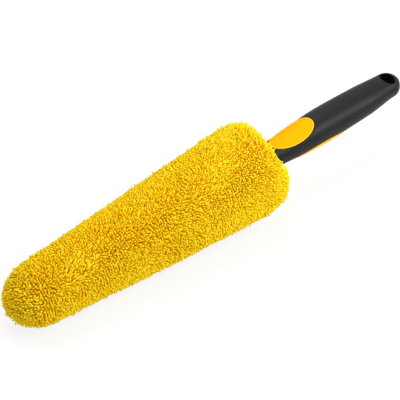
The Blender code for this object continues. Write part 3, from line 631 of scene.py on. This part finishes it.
# Woven elastic: dull black with fine ribs of thread that run round it.
band_black, band_shader = start_material(
    "woven_elastic", {"Roughness": 0.85, "Specular IOR Level": 0.3, "Sheen Weight": 0.2})
ELASTIC_THREAD = 0.0008  # metres from thread to thread
WAVE_RATE = 20 / (2 * math.pi)  # bands in a metre that a wave texture draws at a scale of 1
band_thread = add_node(band_black, "ShaderNodeTexWave", {
    "Vector": add_node(band_black, "ShaderNodeTexCoord").outputs["Object"],
    "Scale": 1 / (WAVE_RATE * ELASTIC_THREAD), "Distortion": 0.6}, bands_direction="X")
band_tone = add_node(band_black, "ShaderNodeMix", {
    "Factor": band_thread.outputs["Fac"], "A": linear("#111111"), "B": linear("#2b2b2b")},
    data_type="RGBA")
band_bump = add_node(band_black, "ShaderNodeBump", {
    "Height": band_thread.outputs["Fac"], "Strength": 0.5, "Distance": 0.0002})
drive(band_black, band_shader, Base_Color=band_tone.outputs["Result"],
      Normal=band_bump.outputs["Normal"])
finish_piece(skin("elastic_band", band_grid(), ring=True, crease=60), band_black,
             "sleeve", "band_black", "mouth_band")


# Pile sleeve: two halves of knitted cloth with thick cut microfibre yarn on them, sewn together
# along both sides and stretched over the foam. The yarns lean and clump as washing left them.

HEAD_LENGTH, TIP_ROUND, SHOULDER_ROUND = 276.5, 42.0, 29.0
HEAD_HALF, TIP_HALF = np.array([43.5, 41.25]), np.array([29.5, 27.75])
TIP_FULLNESS, SHOULDER_FULLNESS = 2.1, 2.25
BAND_CLEAR, MOUTH_FACETS = 0.3, 10  # the mouth clears the band by its facets' middles
MOUTH_HALF = (BAND_OUTER + BAND_CLEAR) / math.cos(math.pi / MOUTH_FACETS)
PILE_LENGTH, CLOTH_THICKNESS = 10.0, 2.0
CLOTH_STEP, CLOTH_COLUMNS, OUTLINE_STEPS = 2.0, 90, 6001


def head_outline(stage, depth):
    """X and half sizes of the head at a stage of its outline, a depth below the pile's face: a
    superellipse over the tip up to stage 1, a straight taper up to 2, and a superellipse round the
    shoulder in to the mouth at 3. The depth comes off each radius, but not off the mouth."""
    stage, depth = np.broadcast_arrays(np.asarray(stage, float), np.asarray(depth, float))
    turn = np.clip(stage, 0, 1) * math.pi / 2
    bend = np.clip(stage - 2, 0, 1) * math.pi / 2
    share = np.clip(stage - 1, 0, 1)
    tip_end = TIP_ROUND - HEAD_LENGTH
    x = np.where(
        stage < 1, tip_end - (TIP_ROUND - depth) * np.cos(turn) ** (2 / TIP_FULLNESS),
        np.where(stage < 2, tip_end + share * (-SHOULDER_ROUND - tip_end),
                 -SHOULDER_ROUND + (SHOULDER_ROUND - depth) * np.sin(bend) ** (2 / SHOULDER_FULLNESS)))
    tip, full = TIP_HALF - depth[..., None], HEAD_HALF - depth[..., None]
    swell = np.where(stage < 1, np.sin(turn) ** (2 / TIP_FULLNESS), 1)[..., None]
    drawn_in = np.cos(bend)[..., None] ** (2 / SHOULDER_FULLNESS)
    half = np.where((stage < 2)[..., None], swell * (tip + share[..., None] * (full - tip)),
                    MOUTH_HALF + (full - MOUTH_HALF) * drawn_in)
    return x, half


def head_point(stage, turn, depth):
    """Point of the head at a stage of its outline and an angle round it, a depth below its face."""
    x, half = head_outline(stage, depth)
    x, turn = np.broadcast_arrays(x, turn)
    return np.stack([x, half[..., 0] * np.cos(turn), half[..., 1] * np.sin(turn)], axis=-1)


def even_stages(depth, spacing):
    """Stages of the outline that lie about a spacing apart along it, measured on the wide side: the
    outline's length is counted in spacings, which may differ from stage to stage."""
    fine = np.linspace(0, 3, OUTLINE_STEPS)
    x, half = head_outline(fine, depth)
    steps = np.hypot(np.diff(x), np.diff(half[:, 0])) / spacing(fine[1:])
    count = np.concatenate([[0], np.cumsum(steps)])
    return np.interp(np.arange(0.5, count[-1]), count, fine)


def cloth_grid(low):
    """Half of the knitted cloth: its outer face runs from the tip to the mouth under the pile, over
    half a turn from the angle low, and its inner face runs back, a thickness deeper. A last row
    halfway between the faces closes the hem at the mouth."""
    stage = np.concatenate([[0], even_stages(PILE_LENGTH, lambda stage: CLOTH_STEP), [3]])[:, None]
    turn = np.linspace(low, low + math.pi, CLOTH_COLUMNS)[None, :]
    outer = head_point(stage, turn, PILE_LENGTH)
    inner = head_point(stage, turn, PILE_LENGTH + CLOTH_THICKNESS)
    hem = (outer[-1:] + inner[-1:]) / 2
    outer, inner = np.concatenate([outer, hem]), np.concatenate([inner, hem])
    return np.concatenate([outer, inner[:, ::-1]], axis=1)


DENSE_STAGES, YARN_SPACING, YARN_SHARE = (1.4, 1.9), (2.3, 2.1), (0.67, 0.76)
YARN_DEPTH = 1.0  # depth under the pile's face at which the spacing holds
YARN_ENDS, LEAST_YARNS = (0.004, 2.996), 3  # first and last stage, and the fewest yarns in a ring
YARN_JITTER, YARN_SEED, YARN_SIDES = 0.15, 17, 6
KNEE, LAID, CREST = 0.66, 0.92, 0.95  # shares of the length: yarns part, are laid over, lie on the face
YARN_BEND = np.array([0.12, 0.6, 1.0])  # shares of the curve past the knee
YARN_STEPS = np.array([0.0, KNEE, 0.72, LAID, 1.0])
YARN_TAPER = np.array([2.0, 2.0, 1.05, 1.0, 0.75])
YARN_VARY = (0.85, 1.15)
SWEEP, CLUMP, STRAY, UNEVEN = 0.6, 0.6, 0.5, 0.8
SWEEP_LENGTHS, SWEEP_WAVES, SWEEP_SEEDS = (30, 70), 12, (31, 32, 33)
CLUMP_LENGTHS, CLUMP_WAVES, CLUMP_SEEDS = (7, 12), 30, (41, 42, 43)
TUFT_LENGTHS, TUFT_WAVES, TUFT_SEED = (7, 12), 20, 51
TUFT_LEVEL, TUFT_STRAY, TUFT_LEAN, TUFT_RISE = 1.5, 0.5, 0.4, (0.5, 2.0)
BEND_LEAN = 0.1
HELD_STAGES, HELD = (0.7, 1.1, 2.4, 2.8), (1.35, 1.0, 1.0, 0.4)
FULL_STAGES = (0.6, 1.1, 2.0, 2.2, 2.35, 2.5, 2.65, 2.8, 3.0)
FULL_SIDES = np.array((1.0, 0.0, -0.4, -0.3, 0.7, 2.2, 2.2, -2.0, -5.0))
FULL_TOP = np.array((1.0, 0.0, 0.0, 2.0, 0.2, -6.0, -9.0, -9.2, -9.2))
PRESSED_AT = math.radians(114)  # the angle round the mouth at which the pile is pressed back most
PRESSED_STEEP, PRESSED_EDGE, PRESSED_LEAST = 6, 3.9, 0.2
SPREAD_STAGES, SPREAD = (1.1, 1.4, 1.9, 2.2), (0.0, 1.7, 1.7, 0.0)


def yarn_spacing(stage):
    """Millimetres from yarn to yarn at a stage of the outline, a little closer at the shoulder."""
    return np.interp(stage, DENSE_STAGES, YARN_SPACING)


def yarn_roots():
    """Stage and angle of every yarn: rings about a spacing apart along the outline, each with as
    many yarns as its circumference holds, every second ring turned by half a space, all jittered."""
    draw = np.random.default_rng(YARN_SEED)
    stage = even_stages(YARN_DEPTH, yarn_spacing)
    half = head_outline(stage, YARN_DEPTH)[1]
    girth = 2 * math.pi * np.sqrt((half ** 2).mean(axis=1))
    count = np.maximum(np.rint(girth / yarn_spacing(stage)), LEAST_YARNS)
    ring = np.repeat(np.arange(len(stage)), count.astype(int))
    order = np.arange(len(ring)) - np.repeat(np.cumsum(count) - count, count.astype(int))
    order = order + 0.5 * (ring % 2) + draw.normal(0, YARN_JITTER, len(ring))
    step = np.gradient(stage)[ring] * draw.normal(0, YARN_JITTER, len(ring))
    return np.clip(stage[ring] + step, *YARN_ENDS), 2 * math.pi * order / count[ring]


def yarn_paths(stage, turn):
    """Middle line of every yarn: straight out of the cloth to a knee, then a curve of the second
    degree that bends over and lies along the pile's face. How far and which way it lies is the sum
    of a slow sweep, a finer field that turns small groups alike, and a stray of its own, times how
    far yarns lie there: longer over the tip and shorter at the mouth, where the band holds them. A
    few yarns stand up as tufts. The face is fuller round the sides of the shoulder, spreads under
    the head's weight, and is pressed back at the mouth, most of all above the thumb pad."""
    draw = np.random.default_rng(YARN_SEED + 1)
    root = head_point(stage, turn, PILE_LENGTH)
    out = head_point(stage, turn, 0.0) - root
    away = out / np.linalg.norm(out, axis=1, keepdims=True)
    pressed = np.clip(PRESSED_STEEP * np.cos(turn - PRESSED_AT) - PRESSED_EDGE, PRESSED_LEAST, 1)
    under = np.abs(np.sin(2 * turn)) * (np.sin(turn) < 0)
    fuller = (np.interp(stage, FULL_STAGES, FULL_SIDES) * (1 - pressed)
              + np.interp(stage, FULL_STAGES, FULL_TOP) * pressed
              + np.interp(stage, SPREAD_STAGES, SPREAD) * under)
    out = out + away * fuller[:, None]
    face = root + out
    sweep = np.stack([waves(face, SWEEP_LENGTHS, SWEEP_WAVES, seed) for seed in SWEEP_SEEDS], axis=1)
    group = np.stack([waves(face, CLUMP_LENGTHS, CLUMP_WAVES, seed) for seed in CLUMP_SEEDS], axis=1)
    stray = draw.normal(0, STRAY, root.shape)
    rise = waves(face, TUFT_LENGTHS, TUFT_WAVES, TUFT_SEED) + draw.normal(0, TUFT_STRAY, len(root))
    tuft = (rise > TUFT_LEVEL)[:, None]
    held = np.interp(stage, HELD_STAGES, HELD)[:, None]
    lean = (SWEEP * sweep + CLUMP * group + stray) * np.where(tuft, TUFT_LEAN, 1) * held
    lean -= (lean * away).sum(axis=1, keepdims=True) * away
    uneven = draw.uniform(-UNEVEN, UNEVEN, held.shape)
    uneven = uneven + tuft * draw.uniform(*TUFT_RISE, held.shape)
    uneven = uneven * np.minimum(held, 1)
    knee = (root + KNEE * out)[:, None]
    bend = (root + CREST * out + BEND_LEAN * lean)[:, None]
    end = (root + CREST * out + uneven * away + lean)[:, None]
    step = YARN_BEND[None, :, None]
    curve = (1 - step) ** 2 * knee + 2 * step * (1 - step) * bend + step ** 2 * end
    return np.concatenate([root[:, None], knee, curve], axis=1)


FLOOR_CLEAR = 0.0001  # metres; yarns that would reach lower end here
CELL_MARGIN = 0.08  # share of a yarn's cell of the UV map that stays empty on each side
NEAR_SIDEWAYS = 0.8  # cosine past which a yarn's rings are set out from x in place of y


def yarn_mesh(name, paths, thick):
    """Round yarns along their middle lines: six-sided rings square to each line, narrower at the
    end, joined by quads and closed at both ends by two quads, with a cell of the UV map each. Each
    point keeps how far along its yarn it is, and a seeded shade of its own yarn."""
    count, steps = paths.shape[:2]
    draw = np.random.default_rng(YARN_SEED + count)
    course = np.gradient(paths, axis=1)
    course /= np.linalg.norm(course, axis=2, keepdims=True)
    sideways = np.abs(course[:, :1, 1:2]) > NEAR_SIDEWAYS
    first = np.cross(course, np.where(sideways, [[[1.0, 0, 0]]], [[[0, 1.0, 0]]]))
    first /= np.linalg.norm(first, axis=2, keepdims=True)
    second = np.cross(course, first)
    turn = np.linspace(0, 2 * math.pi, YARN_SIDES, endpoint=False)
    varied = thick[:, None, None] / 2 * draw.uniform(*YARN_VARY, (count, 1, 1))
    width = varied * YARN_TAPER[None, :, None]
    points = (paths[:, :, None]
              + (width * np.cos(turn))[..., None] * first[:, :, None]
              + (width * np.sin(turn))[..., None] * second[:, :, None])
    index = np.arange(steps * YARN_SIDES).reshape(steps, YARN_SIDES)
    after = np.roll(index, -1, axis=1)
    sides = np.stack([index[:-1], after[:-1], after[1:], index[1:]], axis=-1).reshape(-1, 4)
    root_cap = index[0][[[0, 3, 2, 1], [0, 5, 4, 3]]]
    end_cap = index[-1][[[0, 1, 2, 3], [0, 3, 4, 5]]]
    one = np.concatenate([sides, root_cap, end_cap])
    quads = (np.arange(count)[:, None, None] * index.size + one).reshape(-1, 4)
    world = place(points.reshape(-1, 3))
    world[:, 2] = np.maximum(world[:, 2], FLOOR_CLEAR)
    mesh = quad_mesh(name, world, quads)
    mesh.polygons.foreach_set("use_smooth", np.ones(len(quads), dtype=bool))
    along_yarn = np.tile(np.repeat(YARN_STEPS, YARN_SIDES), count)
    shade = np.repeat(draw.uniform(0, 1, count), index.size)
    for label, values in (("along_yarn", along_yarn), ("yarn_shade", shade)):
        mesh.attributes.new(label, "FLOAT", "POINT").data.foreach_set("value", values.astype(np.float32))
    cells = math.ceil(math.sqrt(count))
    cell = np.stack(np.divmod(np.arange(count), cells), axis=-1)
    across_yarn = np.arange(len(one))[:, None] % YARN_SIDES + np.array([0, 1, 1, 0])
    corner = np.stack([across_yarn / YARN_SIDES, YARN_STEPS[one // YARN_SIDES]], axis=-1)
    spread = (cell[:, None, None] + CELL_MARGIN + (1 - 2 * CELL_MARGIN) * corner) / cells
    layer = mesh.uv_layers.new(name="OFBake")
    layer.data.foreach_set("uv", spread.astype(np.float32).ravel())
    made = bpy.data.objects.new(name, mesh)
    bpy.context.scene.collection.objects.link(made)
    return made


# Cut microfibre yarn: dull bright yellow ends over roots painted a deeper yellow as shade between
# the yarns, no gloss but a soft sheen where yarns are seen from the side, and each yarn a little lighter
# or darker.
yarn_yellow, yarn_shader = start_material(
    "cut_microfibre_yarn", {"Roughness": 0.9, "Specular IOR Level": 0.05, "Sheen Weight": 0.2,
                            "Sheen Roughness": 0.5, "Sheen Tint": linear("#ffd21e")})
FUZZ = 0.0009  # metres; the yarn's fuzz, drawn coarser than it is
yarn_way = add_node(yarn_yellow, "ShaderNodeAttribute", attribute_name="along_yarn")
yarn_each = add_node(yarn_yellow, "ShaderNodeAttribute", attribute_name="yarn_shade")
# From the knee down the yarns turn a deeper yellow: painted shade between the yarns.
yarn_root_shade = add_node(yarn_yellow, "ShaderNodeMapRange", {
    "Value": yarn_way.outputs["Fac"], "From Min": KNEE, "From Max": LAID},
    interpolation_type="SMOOTHSTEP")
yarn_end = add_node(yarn_yellow, "ShaderNodeMix", {
    "Factor": yarn_each.outputs["Fac"], "A": linear("#f2cd0e"), "B": linear("#f8df26")},
    data_type="RGBA")
yarn_tone = add_node(yarn_yellow, "ShaderNodeMix", {
    "Factor": yarn_root_shade.outputs["Result"], "A": linear("#e9b300"), "B": yarn_end.outputs["Result"]},
    data_type="RGBA")
yarn_fuzz = add_node(yarn_yellow, "ShaderNodeTexNoise", {
    "Vector": add_node(yarn_yellow, "ShaderNodeTexCoord").outputs["Object"], "Scale": 1 / FUZZ})
yarn_bump = add_node(yarn_yellow, "ShaderNodeBump", {
    "Height": yarn_fuzz.outputs["Fac"], "Strength": 0.4, "Distance": 0.0003})
drive(yarn_yellow, yarn_shader, Base_Color=yarn_tone.outputs["Result"],
      Normal=yarn_bump.outputs["Normal"])

# Knitted backing: dull orange-brown cloth of small loops, seen only between yarns or from inside.
cloth_brown, cloth_shader = start_material(
    "knitted_polyester", {"Roughness": 0.95, "Specular IOR Level": 0.1})
KNIT_LOOP = 0.0016  # metres from loop to loop
cloth_loops = add_node(cloth_brown, "ShaderNodeTexVoronoi", {
    "Vector": add_node(cloth_brown, "ShaderNodeTexCoord").outputs["Object"], "Scale": 1 / KNIT_LOOP})
cloth_tone = add_node(cloth_brown, "ShaderNodeMix", {
    "Factor": cloth_loops.outputs["Distance"], "A": linear("#b57a12"), "B": linear("#7d4704")},
    data_type="RGBA")
cloth_bump = add_node(cloth_brown, "ShaderNodeBump", {
    "Height": cloth_loops.outputs["Distance"], "Strength": 0.6, "Distance": 0.0004}, invert=True)
drive(cloth_brown, cloth_shader, Base_Color=cloth_tone.outputs["Result"],
      Normal=cloth_bump.outputs["Normal"])

YARN_ZONES = {"tip": (0.0, 1.2), "front": (1.2, 1.5), "middle": (1.5, 1.8), "shoulder": (1.8, 3.0)}
yarn_stage, yarn_turn = yarn_roots()
yarn_lines = yarn_paths(yarn_stage, yarn_turn)
yarn_thick = yarn_spacing(yarn_stage) * np.interp(yarn_stage, DENSE_STAGES, YARN_SHARE)
for half, low in (("top", 0.0), ("bottom", math.pi)):
    cloth = skin(f"knitted_backing_{half}", cloth_grid(low))
    finish_piece(cloth, cloth_brown, "sleeve", "pile_yellow", f"pile_panel_{half}")
    here = (np.sin(yarn_turn) >= 0) == (half == "top")
    for zone, (start, end) in YARN_ZONES.items():
        chosen = here & (yarn_stage >= start) & (yarn_stage < end)
        yarns = yarn_mesh(f"pile_yarn_{half}_{zone}", yarn_lines[chosen], yarn_thick[chosen])
        finish_piece(yarns, yarn_yellow, "sleeve", "pile_yellow", f"pile_panel_{half}")


# Studio: a pale floor that the head lies on, a large soft lamp overhead, one in front towards the
# grip, a weak one that fills in from the tip's side, and a long lens at the photograph's angle.

scene = bpy.context.scene
scene.view_settings.view_transform = "Standard"

FLOOR_REACH = 6.0  # metres
WHITE_SHARE = 0.82
floor_corners = FLOOR_REACH * np.array([[-1, -1, 0], [1, -1, 0], [1, 1, 0], [-1, 1, 0]])
floor_mesh = bpy.data.meshes.new("floor")
floor_mesh.from_pydata(floor_corners.tolist(), [], [(0, 1, 2, 3)])
floor = bpy.data.objects.new("floor", floor_mesh)
scene.collection.objects.link(floor)

# Painted board: a plain pale floor. The camera sees most of it as white, and the rest as it is
# lit, so that it keeps a soft shadow.
floor_paint, floor_shader = start_material("painted_board", {
    "Base Color": linear("#f7f7f5"), "Roughness": 0.9, "Specular IOR Level": 0.1})
floor_path = add_node(floor_paint, "ShaderNodeLightPath")
floor_seen = add_node(floor_paint, "ShaderNodeMath", {
    0: floor_path.outputs["Is Camera Ray"], 1: WHITE_SHARE}, operation="MULTIPLY")
floor_glow = add_node(floor_paint, "ShaderNodeEmission", {"Color": (1, 1, 1, 1), "Strength": 1.0})
floor_mix = add_node(floor_paint, "ShaderNodeMixShader", {
    0: floor_seen.outputs["Value"], 1: floor_shader.outputs["BSDF"], 2: floor_glow.outputs["Emission"]})
floor_paint.node_tree.links.new(
    floor_mix.outputs["Shader"], floor_paint.node_tree.nodes["Material Output"].inputs["Surface"])
floor_mesh.materials.append(floor_paint)

# Studio air: white where the camera, a reflection or a see-through part looks at it, and a
# dimmer even light on everything else.
ROOM_LIGHT = 0.42
world = bpy.data.worlds.new("studio_air")
world.use_nodes = True
scene.world = world
air = world.node_tree.nodes["Background"]
air_path = add_node(world, "ShaderNodeLightPath")
air_seen = add_node(world, "ShaderNodeMath", {
    0: air_path.outputs["Is Camera Ray"], 1: air_path.outputs["Is Glossy Ray"]}, operation="MAXIMUM")
air_shown = add_node(world, "ShaderNodeMath", {
    0: air_seen.outputs["Value"], 1: air_path.outputs["Is Transmission Ray"]}, operation="MAXIMUM")
air_level = add_node(world, "ShaderNodeMapRange", {
    "Value": air_shown.outputs["Value"], "To Min": ROOM_LIGHT, "To Max": 1.0})
world.node_tree.links.new(air_level.outputs["Result"], air.inputs["Strength"])
air.inputs["Color"].default_value = (1, 1, 1, 1)


def soft_lamp(name, at, towards, size, power):
    """Square soft lamp at a place in metres, turned towards another."""
    lamp = bpy.data.lights.new(name, "AREA")
    lamp.size, lamp.energy = size, power
    made = bpy.data.objects.new(name, lamp)
    facing = np.array(at, float) - np.array(towards, float)
    facing /= np.linalg.norm(facing)
    side = np.cross([0.0, 0.0, 1.0], facing)
    side /= np.linalg.norm(side)
    made.matrix_world = Matrix.Translation(at) @ Matrix(
        np.stack([side, np.cross(facing, side), facing], axis=1).tolist()).to_4x4()
    scene.collection.objects.link(made)


soft_lamp("overhead_lamp", (0.05, 0.55, 1.2), (0, 0, 0.04), 0.9, 10.0)
soft_lamp("front_lamp", (0.55, -0.68, 0.78), (0.1, 0, 0.04), 0.72, 10.8)
soft_lamp("fill_lamp", (-1.0, -0.8, 0.9), (-0.1, 0, 0.04), 0.8, 2.0)

# Camera: fitted to the photograph, a 181 mm lens on a 36 mm sensor about 1.7 m away.
CAMERA_LENS, CAMERA_SENSOR = 181.18, 36.0
CAMERA_AT = (-0.816872, -0.994847, 1.179485)
CAMERA_RIGHT = (0.779964, -0.625817, 0.003146)
CAMERA_UP = (0.415753, 0.521902, 0.744827)
CAMERA_BACK = (-0.467767, -0.579631, 0.667249)
lens = bpy.data.cameras.new("camera")
lens.lens, lens.sensor_width, lens.sensor_fit = CAMERA_LENS, CAMERA_SENSOR, "HORIZONTAL"
lens.clip_start, lens.clip_end = 0.05, 50.0
camera = bpy.data.objects.new("camera", lens)
camera.matrix_world = Matrix.Translation(CAMERA_AT) @ Matrix(
    np.stack([CAMERA_RIGHT, CAMERA_UP, CAMERA_BACK], axis=1).tolist()).to_4x4()
scene.collection.objects.link(camera)
scene.camera = camera

bpy.context.view_layer.update()
